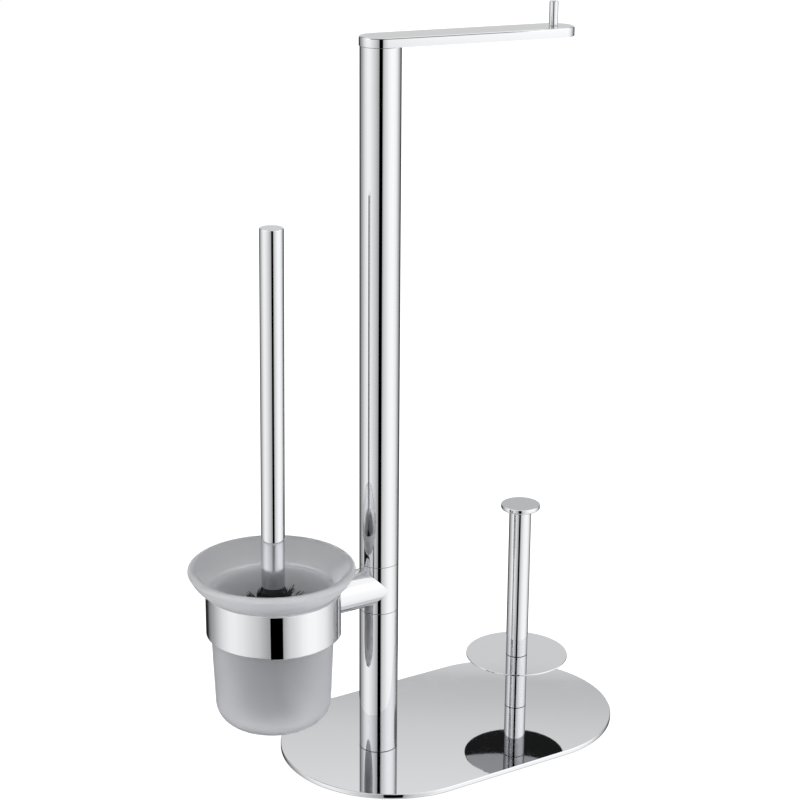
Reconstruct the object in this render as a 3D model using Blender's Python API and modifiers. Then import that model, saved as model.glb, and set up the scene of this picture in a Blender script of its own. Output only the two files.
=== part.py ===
# Bathroom stand: a base plate with a column that carries a toilet roll arm and a
# toilet brush set, and a short post with a disc for a spare roll.
# Metres, +Z up. The origin is on the floor under the middle of the base plate,
# the plate's long side runs along X and the brush set hangs past its -X end.

import bpy
import bmesh
import math
from mathutils import Matrix, Vector

mm = 0.001

# Clearances and cuts
seat_gap = 0.3 * mm
cut_overrun = 3.0 * mm
weld_distance = 0.01 * mm

# Base plate, its pad and the two screws under it
plate_length = 283.0 * mm
plate_width = 174.7 * mm
plate_thickness = 4.0 * mm
plate_edge = 0.5 * mm
pad_thickness = 0.7 * mm
pad_inset = 3.0 * mm
screw_diameter = 6.0 * mm
screw_length = 14.0 * mm
screw_head_diameter = 11.4 * mm
screw_head_height = 2.7 * mm

# Column: lower tube, holder collar and upper tube stand on each other
column_to_post = 132.0 * mm
column_diameter = 30.0 * mm
column_wall = 1.2 * mm
column_end_edge = 0.3 * mm
lower_column_length = 117.3 * mm
collar_height = 38.0 * mm
upper_column_length = 392.2 * mm
foot_insert_height = 16.0 * mm
joiner_length = 22.0 * mm
joiner_bore = 8.6 * mm
stud_diameter = 8.0 * mm
stud_engagement = 7.0 * mm

# Roll arm, a flat bar with round ends and a stop pin
arm_reach = 137.7 * mm
arm_width = 31.2 * mm
arm_thickness = 6.9 * mm
arm_edge = 0.7 * mm
arm_turn = math.radians(-7.7)
arm_stud_depth = 4.6 * mm
arm_stud_length = 14.0 * mm
pin_diameter = 6.6 * mm
pin_height = 18.0 * mm
pin_edge = 0.6 * mm
pin_shank_diameter = 4.0 * mm
pin_shank_length = 4.4 * mm

# Spare roll post: lower tube, disc, upper tube and cap, drawn together by a rod
post_diameter = 17.4 * mm
post_wall = 1.1 * mm
post_end_edge = 0.2 * mm
lower_post_length = 44.2 * mm
upper_post_length = 126.0 * mm
post_insert_height = 24.0 * mm
post_joiner_height = 10.0 * mm
disc_diameter = 82.0 * mm
disc_thickness = 1.1 * mm
disc_edge = 0.25 * mm
cap_diameter = 30.8 * mm
cap_thickness = 3.8 * mm
cap_top_edge = 0.5 * mm
cap_under_edge = 1.2 * mm
cap_spigot_length = 9.0 * mm
rod_diameter = 6.0 * mm
rod_engagement = 7.0 * mm
rod_screw_space = 2.0 * mm

# Brush holder: side arm of the collar, saddle and ring
holder_reach = 93.0 * mm
side_arm_diameter = 29.6 * mm
side_arm_wall = 1.4 * mm
side_insert_length = 12.0 * mm
ring_diameter = 99.0 * mm
ring_wall = 1.5 * mm
ring_height = 33.2 * mm
ring_edge = 0.25 * mm
saddle_thickness = 2.1 * mm
saddle_half_angle = math.radians(40.0)
ring_screw_diameter = 4.0 * mm
ring_screw_length = 13.0 * mm
ring_screw_head_diameter = 7.0 * mm

# Frosted glass cup; heights are measured from the cup's underside
cup_clearance = 0.9 * mm
cup_wall = 4.4 * mm
cup_floor = 5.2 * mm
cup_depth_below_ring = 71.9 * mm
cup_foot_taper = 3.6 * mm
cup_corner_radius = 17.0 * mm
cup_flare_height = 18.8 * mm
cup_flare_width = 15.1 * mm
cup_lip_radius = 3.8 * mm
cup_throat_rise = 2.2 * mm
cup_seat_width = 2.4 * mm
cup_flare_bulge = 1.2 * mm

# Brush; heights are measured from the foot of the bristles
brush_lean = math.radians(0.5)
brush_lean_heading = math.radians(-32.0)
handle_diameter = 17.5 * mm
handle_wall = 1.0 * mm
handle_length = 271.9 * mm
handle_top_edge = 0.8 * mm
handle_foot_height = 102.6 * mm
handle_insert_length = 18.0 * mm
core_diameter = 13.0 * mm
core_flange_height = 5.0 * mm
core_stud_length = 12.0 * mm
core_stud_diameter = 6.0 * mm
backing_wall = 2.3 * mm
backing_tip = 6.0 * mm
head_radius = 37.0 * mm
head_height = 103.0 * mm
bristle_foot_length = 15.0 * mm

# Outline of the bristle tips from beside the handle, over the shoulder and down to the
# foot, as shares of the head's radius and height that were chosen by hand
tip_radius_shares = (0.34, 0.64, 0.84, 0.95, 1.0, 1.0, 1.0, 0.98, 0.88, 0.60, 0.0)
tip_height_shares = (0.985, 0.93, 0.855, 0.76, 0.65, 0.52, 0.38, 0.25, 0.12, 0.0, 0.0)
bristle_root_share = 0.5
bristle_tip_share = 0.24
sleeve_share = 0.8
bristle_rows = 10
bristle_columns = 14
dome_rows = 3

# Numbers of sides
tube_steps = 36
small_steps = 16
cup_steps = 48
ring_steps = 56
arc_points = 16

# Heights and places worked out from the sizes above
plate_bottom = pad_thickness + seat_gap
plate_top = plate_bottom + plate_thickness
column_x = -column_to_post / 2
post_x = column_to_post / 2
column_bottom = plate_top + seat_gap
collar_bottom = column_bottom + lower_column_length + seat_gap
collar_top = collar_bottom + collar_height
upper_column_bottom = collar_top + seat_gap
upper_column_top = upper_column_bottom + upper_column_length
arm_bottom = upper_column_top + seat_gap
holder_z = (collar_bottom + collar_top) / 2
ring_bottom = holder_z - ring_height / 2
ring_top = holder_z + ring_height / 2
cup_x = column_x - holder_reach
column_bore = column_diameter / 2 - column_wall
post_bore = post_diameter / 2 - post_wall
disc_bottom = column_bottom + lower_post_length + seat_gap
disc_top = disc_bottom + disc_thickness
upper_post_bottom = disc_top + seat_gap
upper_post_top = upper_post_bottom + upper_post_length
cap_bottom = upper_post_top + seat_gap
cup_bottom = ring_bottom - cup_depth_below_ring
brush_foot = cup_bottom + cup_floor + seat_gap

model = bpy.data.collections.new("toilet_roll_and_brush_stand")
tools = bpy.data.collections.new("cutters")


def clear_scene():
    for thing in list(bpy.data.objects):
        bpy.data.objects.remove(thing, do_unlink=True)
    bpy.context.scene.collection.children.link(model)
    bpy.context.scene.collection.children.link(tools)


def make_material(name, colour, roughness, metallic):
    material = bpy.data.materials.new(name)
    material.use_nodes = True
    shader = material.node_tree.nodes["Principled BSDF"]
    shader.inputs["Base Color"].default_value = (*colour, 1.0)
    shader.inputs["Roughness"].default_value = roughness
    shader.inputs["Metallic"].default_value = metallic
    return material


def finish(thing, material_name, colour, roughness, metallic, smooth_angle=35.0):
    thing.data.materials.clear()
    thing.data.materials.append(make_material(material_name, colour, roughness, metallic))
    if thing.type == "MESH":
        thing.data.shade_smooth()
        thing.data.set_sharp_from_angle(angle=math.radians(smooth_angle))


def chrome(thing):
    finish(thing, thing.name + "_chrome", (0.80, 0.81, 0.83), 0.06, 1.0)


def zinc(thing):
    finish(thing, thing.name + "_zinc", (0.62, 0.63, 0.64), 0.35, 1.0)


def black_plastic(thing):
    finish(thing, thing.name + "_plastic", (0.02, 0.02, 0.022), 0.5, 0.0)


def link(name, mesh, collection):
    thing = bpy.data.objects.new(name, mesh)
    collection.objects.link(thing)
    return thing


def hide_tool(thing):
    thing.hide_render = True
    thing.display_type = "WIRE"
    return thing


def place(thing, location):
    thing.location = location
    return thing


def turned(name, profile, steps, collection, closed=True):
    """A profile of (radius, height) points turned once about the object's Z axis."""
    mesh = bpy.data.meshes.new(name)
    points = [(radius, 0.0, height) for radius, height in profile]
    edges = [(i, i + 1) for i in range(len(points) - 1)]
    if closed:
        edges.append((len(points) - 1, 0))
    mesh.from_pydata(points, edges, [])
    thing = link(name, mesh, collection)
    screw = thing.modifiers.new("Turn", "SCREW")
    screw.steps = steps
    screw.render_steps = steps
    screw.use_merge_vertices = True
    screw.merge_threshold = weld_distance
    screw.use_smooth_shade = True
    return thing


def solid_mesh(thing):
    """Replace an object by its evaluated mesh, welded, in the same place."""
    graph = bpy.context.evaluated_depsgraph_get()
    mesh = bpy.data.meshes.new_from_object(thing.evaluated_get(graph))
    build = bmesh.new()
    build.from_mesh(mesh)
    bmesh.ops.remove_doubles(build, verts=build.verts, dist=weld_distance)
    build.to_mesh(mesh)
    build.free()
    name = thing.name
    collection = thing.users_collection[0]
    matrix = thing.matrix_world.copy()
    bpy.data.objects.remove(thing, do_unlink=True)
    solid = link(name, mesh, collection)
    solid.matrix_world = matrix
    return solid


def cut(thing, cutter, operation="DIFFERENCE"):
    boolean = thing.modifiers.new("Cut " + cutter.name, "BOOLEAN")
    boolean.operation = operation
    boolean.solver = "EXACT"
    boolean.object = cutter
    hide_tool(cutter)
    return thing


def tube_profile(outer, inner, bottom, top, edge):
    """Wall of a tube with its outer end edges broken."""
    return [
        (outer - edge, top),
        (outer, top - edge),
        (outer, bottom + edge),
        (outer - edge, bottom),
        (inner, bottom),
        (inner, top),
    ]


def rod_profile(radius, bottom, top, edge):
    return [
        (0.0, top),
        (radius - edge, top),
        (radius, top - edge),
        (radius, bottom + edge),
        (radius - edge, bottom),
        (0.0, bottom),
    ]


def solid_rod(name, radius, bottom, top, edge, steps, collection):
    return turned(name, rod_profile(radius, bottom, top, edge), steps, collection, closed=False)


def bored_plug(name, outer, inner, bottom, top, steps):
    return turned(name, tube_profile(outer, inner, bottom, top, seat_gap), steps, model)


def round_ended_outline(length, width):
    """Outline of a bar with half round ends, centred, as points along its edge."""
    radius = width / 2
    half = max(length / 2 - radius, weld_distance)
    points = []
    for centre, start in ((half, -90.0), (-half, 90.0)):
        for step in range(arc_points + 1):
            angle = math.radians(start + 180.0 * step / arc_points)
            points.append((centre + radius * math.cos(angle), radius * math.sin(angle), 0.0))
    return points


def flat_bar(name, length, width, thickness, edge, collection):
    """A flat bar with round ends, lying on its middle plane, with broken edges."""
    curve = bpy.data.curves.new(name, "CURVE")
    curve.dimensions = "2D"
    curve.fill_mode = "BOTH"
    curve.extrude = thickness / 2
    points = round_ended_outline(length, width)
    spline = curve.splines.new("POLY")
    spline.points.add(len(points) - 1)
    for point, place_on_edge in zip(spline.points, points):
        point.co = (*place_on_edge, 1.0)
    spline.use_cyclic_u = True
    bar = solid_mesh(link(name, curve, collection))
    if edge > 0.0:
        bevel = bar.modifiers.new("Broken edges", "BEVEL")
        bevel.width = edge
        bevel.segments = 2
        bevel.limit_method = "ANGLE"
        bevel.angle_limit = math.radians(60.0)
    return bar


def countersunk_profile(head_radius, head_height, shank_radius, length):
    """Countersunk screw with its head's flat face down at zero."""
    return [
        (0.0, length),
        (shank_radius - seat_gap, length),
        (shank_radius, length - seat_gap),
        (shank_radius, head_height),
        (head_radius, 0.0),
        (0.0, 0.0),
    ]


def countersink_profile(head_radius, head_height, shank_radius, depth):
    """Cutter for a countersunk hole whose mouth lies at zero."""
    hole = shank_radius + seat_gap
    mouth = head_radius + seat_gap
    spread = (mouth - hole) / head_height
    return [
        (0.0, depth + cut_overrun),
        (hole, depth + cut_overrun),
        (hole, head_height + seat_gap),
        (mouth + spread * cut_overrun, -cut_overrun),
        (0.0, -cut_overrun),
    ]


def make_base_plate():
    plate = flat_bar("base_plate", plate_length, plate_width, plate_thickness, plate_edge, model)
    plate.location.z = plate_bottom + plate_thickness / 2
    for side, x in (("column", column_x), ("post", post_x)):
        sink = countersink_profile(
            screw_head_diameter / 2, screw_head_height, screw_diameter / 2, plate_thickness
        )
        cutter = turned("cut_plate_" + side, sink, small_steps, tools, closed=False)
        cut(plate, place(cutter, (x, 0.0, plate_bottom)))
    chrome(plate)


def make_base_pad():
    pad = flat_bar(
        "base_pad",
        plate_length - 2 * pad_inset,
        plate_width - 2 * pad_inset,
        pad_thickness,
        0.0,
        model,
    )
    pad.location.z = pad_thickness / 2
    finish(pad, "pad_foam_rubber", (0.03, 0.03, 0.03), 0.9, 0.0)


def make_base_screws():
    """Two equal screws that draw the column and the post onto the plate."""
    shape = countersunk_profile(
        screw_head_diameter / 2, screw_head_height, screw_diameter / 2, screw_length
    )
    for name, x in (("column_screw", column_x), ("post_screw", post_x)):
        screw = turned(name, shape, small_steps, model, closed=False)
        zinc(place(screw, (x, 0.0, plate_bottom)))


def make_column():
    radius = column_diameter / 2
    tubes = (
        ("lower_column", column_bottom, column_bottom + lower_column_length),
        ("upper_column", upper_column_bottom, upper_column_top),
    )
    for name, bottom, top in tubes:
        shape = tube_profile(radius, column_bore, 0.0, top - bottom, column_end_edge)
        tube = turned(name, shape, tube_steps, model)
        chrome(place(tube, (column_x, 0.0, bottom)))


def make_column_inserts():
    """Plugs inside the tubes: they carry the threads that hold the stand together."""
    radius = column_bore - seat_gap
    screw_bore = screw_diameter / 2 + seat_gap
    foot = bored_plug("column_foot_insert", radius, screw_bore, 0.0, foot_insert_height, small_steps)
    zinc(place(foot, (column_x, 0.0, column_bottom)))
    half = joiner_length / 2
    for name, seam in (
        ("lower_joiner", collar_bottom - seat_gap / 2),
        ("upper_joiner", collar_top + seat_gap / 2),
    ):
        plug = bored_plug(name, radius, joiner_bore / 2, -half, half, small_steps)
        zinc(place(plug, (column_x, 0.0, seam)))
    top = bored_plug("column_top_insert", radius, joiner_bore / 2, -half, 0.0, small_steps)
    zinc(place(top, (column_x, 0.0, upper_column_top)))


def make_joiner_stud():
    """Threaded stud that draws both joiners together through the collar."""
    bottom = collar_bottom + half_joiner() - stud_engagement
    top = collar_top - half_joiner() + stud_engagement
    stud = solid_rod(
        "joiner_stud", stud_diameter / 2, 0.0, top - bottom, seat_gap, small_steps, model
    )
    zinc(place(stud, (column_x, 0.0, bottom)))


def half_joiner():
    return joiner_length / 2


def saddle_radius():
    return ring_diameter / 2 + seat_gap + saddle_thickness


def make_holder_tee():
    """Collar of the column with the side arm brazed to it, coped to the saddle."""
    radius = column_diameter / 2
    tee = turned(
        "holder_tee",
        rod_profile(radius, -collar_height / 2, collar_height / 2, column_end_edge),
        tube_steps,
        model,
        closed=False,
    )
    place(tee, (column_x, 0.0, holder_z))
    along = Matrix.Rotation(math.radians(-90.0), 4, "Y")
    arm_radius = side_arm_diameter / 2
    side_arm = solid_rod("join_side_arm", arm_radius, 0.0, holder_reach, seat_gap, tube_steps, tools)
    side_arm.matrix_world = Matrix.Translation((column_x, 0.0, holder_z)) @ along
    cut(tee, side_arm, "UNION")
    cope_radius = saddle_radius() + seat_gap
    cope = solid_rod(
        "cut_cope", cope_radius, -collar_height, collar_height, seat_gap, ring_steps, tools
    )
    cut(tee, place(cope, (cup_x, 0.0, holder_z)))
    reach = collar_height / 2 + cut_overrun
    bore = solid_rod("cut_collar_bore", column_bore, -reach, reach, seat_gap, tube_steps, tools)
    cut(tee, place(bore, (column_x, 0.0, holder_z)))
    side_bore = solid_rod(
        "cut_side_bore", arm_radius - side_arm_wall, 0.0, holder_reach, seat_gap, tube_steps, tools
    )
    side_bore.matrix_world = side_arm.matrix_world.copy()
    cut(tee, side_bore)
    chrome(tee)


def make_side_arm_insert():
    """Threaded plug in the side arm that takes the ring's screw."""
    outer = side_arm_diameter / 2 - side_arm_wall - seat_gap
    bore = ring_screw_diameter / 2 + seat_gap
    shape = tube_profile(outer, bore, 0.0, side_insert_length, seat_gap)
    plug = turned("side_arm_insert", shape, small_steps, model)
    along = Matrix.Rotation(math.radians(90.0), 4, "Y")
    start = cup_x + saddle_radius() + 2 * seat_gap
    plug.matrix_world = Matrix.Translation((start, 0.0, holder_z)) @ along
    zinc(plug)


def make_saddle():
    """Curved spacer between the side arm and the ring."""
    inner = ring_diameter / 2 + seat_gap
    shape = tube_profile(saddle_radius(), inner, -ring_height / 2, ring_height / 2, ring_edge)
    saddle = turned("holder_saddle", shape, ring_steps, model)
    place(saddle, (cup_x, 0.0, holder_z))
    # a wedge seen from above keeps only the part of the hoop that faces the column
    wedge = bpy.data.curves.new("keep_saddle", "CURVE")
    wedge.dimensions = "2D"
    wedge.fill_mode = "BOTH"
    wedge.extrude = ring_height
    far = ring_diameter
    spline = wedge.splines.new("POLY")
    spline.points.add(3)
    corners = [(0.0, 0.0)]
    for turn in (-1.0, 0.0, 1.0):
        angle = turn * saddle_half_angle
        corners.append((far * math.cos(angle), far * math.sin(angle)))
    for point, (x, y) in zip(spline.points, corners):
        point.co = (x, y, 0.0, 1.0)
    spline.use_cyclic_u = True
    keep = solid_mesh(link("keep_saddle", wedge, tools))
    cut(saddle, place(keep, (cup_x, 0.0, holder_z)), "INTERSECT")
    cut(saddle, ring_screw_cutter("cut_saddle_hole"))
    chrome(saddle)


def ring_screw_matrix():
    """Place of the ring screw: its head flush with the ring's inside, pointing at the column."""
    start = cup_x + ring_diameter / 2 - ring_wall
    return Matrix.Translation((start, 0.0, holder_z)) @ Matrix.Rotation(math.radians(90.0), 4, "Y")


def ring_screw_cutter(name):
    shape = countersink_profile(
        ring_screw_head_diameter / 2, ring_wall, ring_screw_diameter / 2, ring_screw_length
    )
    cutter = turned(name, shape, small_steps, tools, closed=False)
    cutter.matrix_world = ring_screw_matrix()
    return cutter


def make_holder_ring():
    outer = ring_diameter / 2
    shape = tube_profile(outer, outer - ring_wall, -ring_height / 2, ring_height / 2, ring_edge)
    ring = turned("holder_ring", shape, ring_steps, model)
    place(ring, (cup_x, 0.0, holder_z))
    cut(ring, ring_screw_cutter("cut_ring_hole"))
    chrome(ring)


def make_ring_screw():
    shape = countersunk_profile(
        ring_screw_head_diameter / 2 - seat_gap,
        ring_wall - seat_gap,
        ring_screw_diameter / 2,
        ring_screw_length,
    )
    screw = turned("ring_screw", shape, small_steps, model, closed=False)
    screw.matrix_world = ring_screw_matrix()
    zinc(screw)


def make_roll_arm():
    arm = flat_bar("roll_arm", arm_reach + arm_width, arm_width, arm_thickness, arm_edge, model)
    turn = Matrix.Rotation(arm_turn, 4, "Z")
    middle = Vector((arm_reach / 2, 0.0, arm_thickness / 2))
    pivot = Matrix.Translation((column_x, 0.0, arm_bottom))
    arm.matrix_world = pivot @ turn @ Matrix.Translation(middle)
    stud_hole = solid_rod(
        "cut_arm_stud",
        joiner_bore / 2,
        -cut_overrun,
        arm_stud_depth + seat_gap,
        seat_gap,
        small_steps,
        tools,
    )
    cut(arm, place(stud_hole, (column_x, 0.0, arm_bottom)))
    pin_hole = solid_rod(
        "cut_arm_pin",
        pin_shank_diameter / 2 + seat_gap,
        arm_thickness - pin_shank_length - seat_gap,
        arm_thickness + cut_overrun,
        seat_gap,
        small_steps,
        tools,
    )
    pin_hole.matrix_world = pivot @ turn @ Matrix.Translation((arm_reach, 0.0, 0.0))
    cut(arm, pin_hole)
    chrome(arm)


def make_arm_stud():
    stud = solid_rod(
        "arm_stud",
        stud_diameter / 2,
        arm_stud_depth - arm_stud_length,
        arm_stud_depth,
        seat_gap,
        small_steps,
        model,
    )
    zinc(place(stud, (column_x, 0.0, arm_bottom)))


def make_stop_pin():
    radius = pin_diameter / 2
    shank = pin_shank_diameter / 2
    shape = [
        (0.0, pin_height),
        (radius - pin_edge, pin_height),
        (radius, pin_height - pin_edge),
        (radius, seat_gap),
        (shank, seat_gap),
        (shank, -pin_shank_length),
        (0.0, -pin_shank_length),
    ]
    pin = turned("stop_pin", shape, small_steps, model, closed=False)
    turn = Matrix.Rotation(arm_turn, 4, "Z")
    top = Matrix.Translation((column_x, 0.0, arm_bottom + arm_thickness))
    pin.matrix_world = top @ turn @ Matrix.Translation((arm_reach, 0.0, 0.0))
    chrome(pin)


def make_post():
    radius = post_diameter / 2
    tubes = (
        ("lower_post", column_bottom, lower_post_length),
        ("upper_post", upper_post_bottom, upper_post_length),
    )
    for name, bottom, length in tubes:
        shape = tube_profile(radius, post_bore, 0.0, length, post_end_edge)
        chrome(place(turned(name, shape, tube_steps, model), (post_x, 0.0, bottom)))


def make_post_inserts():
    outer = post_bore - seat_gap
    bore = rod_diameter / 2 + seat_gap
    foot = bored_plug("post_foot_insert", outer, bore, 0.0, post_insert_height, small_steps)
    zinc(place(foot, (post_x, 0.0, column_bottom)))
    under = bored_plug("lower_post_insert", outer, bore, -post_joiner_height, 0.0, small_steps)
    zinc(place(under, (post_x, 0.0, disc_bottom - seat_gap)))
    over = bored_plug("upper_post_insert", outer, bore, 0.0, post_joiner_height, small_steps)
    zinc(place(over, (post_x, 0.0, upper_post_bottom)))


def make_post_rod():
    """Threaded rod from the foot insert up into the cap's spigot."""
    bottom = plate_bottom + screw_length + rod_screw_space
    top = cap_bottom - cap_spigot_length + rod_engagement
    rod = solid_rod("post_rod", rod_diameter / 2, 0.0, top - bottom, seat_gap, small_steps, model)
    zinc(place(rod, (post_x, 0.0, bottom)))


def make_roll_disc():
    shape = tube_profile(
        disc_diameter / 2, rod_diameter / 2 + seat_gap, 0.0, disc_thickness, disc_edge
    )
    chrome(place(turned("roll_disc", shape, ring_steps, model), (post_x, 0.0, disc_bottom)))


def make_post_cap():
    radius = cap_diameter / 2
    spigot = post_bore - seat_gap
    bore = rod_diameter / 2 + seat_gap
    bore_top = rod_engagement - cap_spigot_length + seat_gap
    shape = [
        (0.0, cap_thickness),
        (radius - cap_top_edge, cap_thickness),
        (radius, cap_thickness - cap_top_edge),
        (radius, cap_under_edge),
        (radius - cap_under_edge, 0.0),
        (spigot, 0.0),
        (spigot, -cap_spigot_length),
        (bore, -cap_spigot_length),
        (bore, bore_top),
        (0.0, bore_top),
    ]
    cap = turned("post_cap", shape, tube_steps, model, closed=False)
    chrome(place(cap, (post_x, 0.0, cap_bottom)))


def arc(centre, radius, start, end, count):
    """Points of a profile along an arc, angles in degrees, the end point included."""
    points = []
    for step in range(count + 1):
        angle = math.radians(start + (end - start) * step / count)
        points.append((centre[0] + radius * math.cos(angle), centre[1] + radius * math.sin(angle)))
    return points


def cup_profile():
    """Half section of the cup from the lip down its outside and back up its inside."""
    seat = cup_depth_below_ring + ring_height + seat_gap
    body = ring_diameter / 2 - ring_wall - cup_clearance
    foot = body - cup_foot_taper
    lip = body + cup_flare_width
    lip_centre = (lip - cup_lip_radius, seat + cup_flare_height - cup_lip_radius)
    inner = body - cup_wall
    inner_foot = foot - cup_wall
    inner_corner = max(cup_corner_radius - cup_wall, cup_wall)
    throat = seat + cup_throat_rise
    outside = arc(lip_centre, cup_lip_radius, 90.0, -42.0, 6)
    # the flare bulges a little between the lip and the shoulder that rests on the ring
    upper = outside[-1]
    shoulder = (body + cup_clearance + cup_seat_width, seat + cup_seat_width / 2)
    for share in (0.25, 0.5, 0.75):
        push = cup_flare_bulge * 4.0 * share * (1.0 - share) / math.sqrt(2.0)
        outside.append((
            upper[0] + (shoulder[0] - upper[0]) * share + push,
            upper[1] + (shoulder[1] - upper[1]) * share - push,
        ))
    outside.append(shoulder)
    outside.append((body, seat - cup_clearance / 2))
    outside += arc((foot - cup_corner_radius, cup_corner_radius), cup_corner_radius, 0.0, -90.0, 5)
    outside.append((0.0, 0.0))
    inside = [(0.0, cup_floor)]
    inside += arc((inner_foot - inner_corner, cup_floor + inner_corner), inner_corner, -90.0, 0.0, 4)
    inside += [
        (inner, throat - 2 * cup_seat_width),
        (inner + cup_seat_width, throat),
    ]
    inside += arc(lip_centre, cup_lip_radius, 150.0, 120.0, 1)
    return outside + inside


def make_glass_cup(axis):
    cup = turned("glass_cup", cup_profile(), cup_steps, model)
    cup.parent = axis
    finish(cup, "frosted_glass", (0.72, 0.74, 0.75), 0.55, 0.0)


def make_handle(axis):
    """Handle tube, closed and rounded at its top and open at its foot."""
    radius = handle_diameter / 2
    bore = radius - handle_wall
    shape = [(0.0, handle_length)]
    shape += arc(
        (radius - handle_top_edge, handle_length - handle_top_edge), handle_top_edge, 90.0, 0.0, 2
    )
    shape += [
        (radius, 0.0),
        (bore, 0.0),
        (bore, handle_length - handle_wall - handle_top_edge),
        (0.0, handle_length - handle_wall - handle_top_edge),
    ]
    handle = turned("brush_handle", shape, tube_steps, model, closed=False)
    handle.parent = axis
    handle.location = (0.0, 0.0, handle_foot_height)
    chrome(handle)


def make_handle_insert(axis):
    """Threaded plug in the handle's foot that takes the stud of the brush core."""
    outer = handle_diameter / 2 - handle_wall - seat_gap
    bore = core_stud_diameter / 2 + seat_gap
    plug = bored_plug("handle_insert", outer, bore, 0.0, handle_insert_length, small_steps)
    plug.parent = axis
    plug.location = (0.0, 0.0, handle_foot_height)
    finish(plug, "handle_insert_nylon", (0.75, 0.75, 0.72), 0.5, 0.0)


def backing_floor():
    """Height above the brush's foot where the backing's sleeve ends and its dome starts."""
    return bristle_foot_length + backing_tip


def make_brush_core(axis):
    """Moulded core: stud, flange under the handle and the stem inside the backing."""
    flange = handle_diameter / 2 - handle_wall
    stem = core_diameter / 2
    top = handle_foot_height - seat_gap
    shape = [
        (0.0, top + core_stud_length),
        (core_stud_diameter / 2, top + core_stud_length),
        (core_stud_diameter / 2, top),
        (flange, top),
        (flange, top - core_flange_height),
        (stem, top - core_flange_height),
        (stem, backing_floor() + seat_gap),
        (0.0, backing_floor() + seat_gap),
    ]
    core = turned("brush_core", shape, small_steps, model, closed=False)
    core.parent = axis
    black_plastic(core)


def backing_radius():
    return core_diameter / 2 + seat_gap + backing_wall


def backing_profile():
    """Sleeve rows from the top to the floor, then the dome under it and the stem's bore."""
    outer = backing_radius()
    inner = outer - backing_wall
    top = handle_foot_height - 2 * seat_gap - core_flange_height
    floor = backing_floor()
    points = []
    for row in range(bristle_rows + 1):
        points.append((outer, top + (floor - top) * row / bristle_rows))
    for row in range(1, dome_rows):
        angle = math.pi / 2 * row / dome_rows
        points.append((outer * math.cos(angle), floor - backing_tip * math.sin(angle)))
    points.append((0.0, floor - backing_tip))
    points += [(0.0, floor), (inner, floor), (inner, top)]
    return points


def share_at(shares, along):
    """Value of a table of shares at a place from 0 to 1 along it."""
    place_in_table = along * (len(shares) - 1)
    step = min(int(place_in_table), len(shares) - 2)
    rest = place_in_table - step
    return shares[step] * (1.0 - rest) + shares[step + 1] * rest


def bristle_tip(root, top, floor):
    """Tip of the strand that grows at a root: straight out of it, in the root's own plane."""
    radius = math.hypot(root.x, root.y)
    if root.z > floor:
        along = sleeve_share * (top - root.z) / (top - floor)
    else:
        turn = math.atan2((floor - root.z) / backing_tip, radius / backing_radius())
        along = sleeve_share + (1.0 - sleeve_share) * turn / (math.pi / 2)
    around = Vector((root.x / radius, root.y / radius, 0.0))
    tip = around * head_radius * share_at(tip_radius_shares, along)
    tip.z = head_height * share_at(tip_height_shares, along)
    return tip


def make_bristles(axis):
    """Backing sleeve with one strand drawn out of every half cell of its outside."""
    profile = backing_profile()
    build = bmesh.new()
    verts = [build.verts.new((radius, 0.0, height)) for radius, height in profile]
    edges = [build.edges.new((verts[i], verts[i + 1])) for i in range(len(verts) - 1)]
    edges.append(build.edges.new((verts[-1], verts[0])))
    bmesh.ops.spin(
        build,
        geom=verts + edges,
        cent=(0.0, 0.0, 0.0),
        axis=(0.0, 0.0, 1.0),
        angle=math.radians(360.0),
        steps=bristle_columns,
        use_merge=True,
    )
    bmesh.ops.remove_doubles(build, verts=build.verts, dist=weld_distance)
    bmesh.ops.dissolve_degenerate(build, edges=build.edges, dist=weld_distance)
    bmesh.ops.recalc_face_normals(build, faces=build.faces)
    top = profile[0][1]
    floor = backing_floor()
    skin = []
    for face in build.faces:
        centre = face.calc_center_median()
        outward = face.normal.x * centre.x + face.normal.y * centre.y > 0.0
        if outward or centre.z < floor - seat_gap:
            skin.append(face)
    cells = bmesh.ops.triangulate(build, faces=skin)["faces"]
    bmesh.ops.inset_individual(build, faces=cells, thickness=0.0)
    for cell in cells:
        root = cell.calc_center_median()
        for vert in cell.verts:
            vert.co = root + (vert.co - root) * bristle_root_share
    strands = bmesh.ops.extrude_discrete_faces(build, faces=cells)["faces"]
    for strand in strands:
        root = strand.calc_center_median()
        tip = bristle_tip(root, top, floor)
        for vert in strand.verts:
            vert.co = tip + (vert.co - root) * bristle_tip_share / bristle_root_share
            vert.co.z = max(vert.co.z, 0.0)
    mesh = bpy.data.meshes.new("bristle_head")
    build.to_mesh(mesh)
    build.free()
    head = link("bristle_head", mesh, model)
    head.parent = axis
    finish(head, "bristle_nylon", (0.015, 0.015, 0.016), 0.6, 0.0)
    print("bristle strands:", len(strands))


def make_axis(name, location, lean=0.0, heading=0.0):
    """Empty that stands on a moving body's axis, leaning by an angle towards a heading."""
    axis = bpy.data.objects.new(name, None)
    model.objects.link(axis)
    sideways = Vector((-math.sin(heading), math.cos(heading), 0.0))
    axis.matrix_world = Matrix.Translation(location) @ Matrix.Rotation(lean, 4, sideways)
    return axis


def build_stand():
    clear_scene()
    make_base_pad()
    make_base_plate()
    make_base_screws()
    make_column()
    make_column_inserts()
    make_joiner_stud()
    make_holder_tee()
    make_side_arm_insert()
    make_saddle()
    make_holder_ring()
    make_ring_screw()
    make_roll_arm()
    make_arm_stud()
    make_stop_pin()
    make_post()
    make_post_inserts()
    make_post_rod()
    make_roll_disc()
    make_post_cap()
    cup_axis = make_axis("cup_axis", (cup_x, 0.0, cup_bottom))
    make_glass_cup(cup_axis)
    brush_axis = make_axis("brush_axis", (cup_x, 0.0, brush_foot), brush_lean, brush_lean_heading)
    make_handle(brush_axis)
    make_handle_insert(brush_axis)
    make_brush_core(brush_axis)
    make_bristles(brush_axis)


build_stand()
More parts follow.
